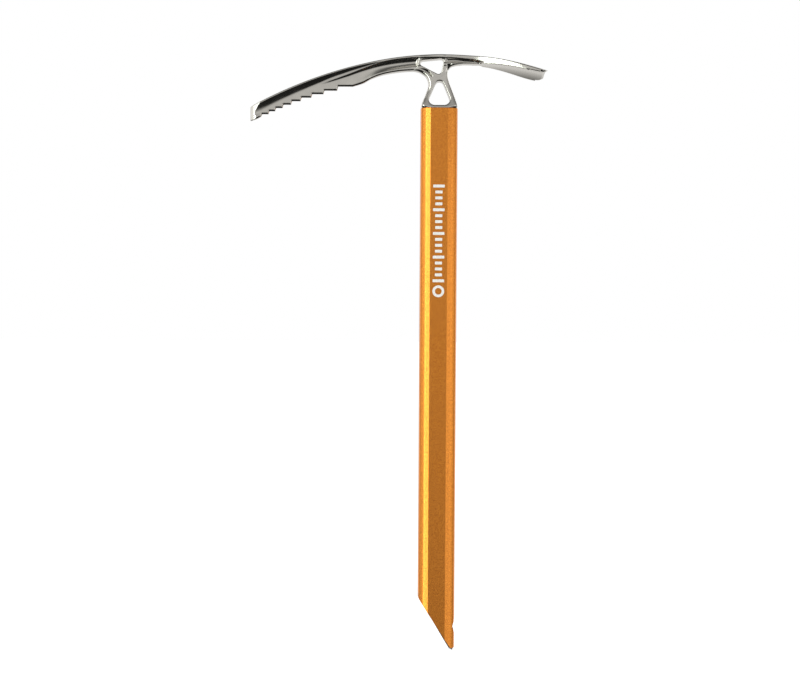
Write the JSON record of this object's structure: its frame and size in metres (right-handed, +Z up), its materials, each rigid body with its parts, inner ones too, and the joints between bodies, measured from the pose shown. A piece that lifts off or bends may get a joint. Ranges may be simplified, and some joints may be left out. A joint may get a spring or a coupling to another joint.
{
  "type": "ice axe",
  "caption": "Straight mountaineering ice axe with a one-piece steel pick-and-adze head, an oval orange aluminium shaft cut to a slanted spike, and a carabiner eye.",
  "frame": {"origin": "on the shaft's axis, at the centre of the largest round bar that the eye in the head lets through", "axes": "+Z up the shaft to the head, -X towards the pick, +X towards the adze, Y across the blade and through the eye"},
  "size_m": [0.2708, 0.0502, 0.5485],
  "materials": {
    "head_steel": "bead-blasted and polished cast stainless steel",
    "shaft_orange": "satin orange anodised",
    "spike_steel": "dark heat-treated sheet",
    "pin_steel": "ground flush",
    "epoxy": "cured adhesive",
    "plug_foam": "closed-cell foam"
  },
  "bodies": {
    "root": {"head": "head_steel", "shaft_tube": "shaft_orange", "head_bond": "epoxy", "head_pins": "pin_steel", "shaft_plug": "plug_foam", "spike_insert": "spike_steel", "spike_rivets": "pin_steel"}
  },
  "joints": []
}
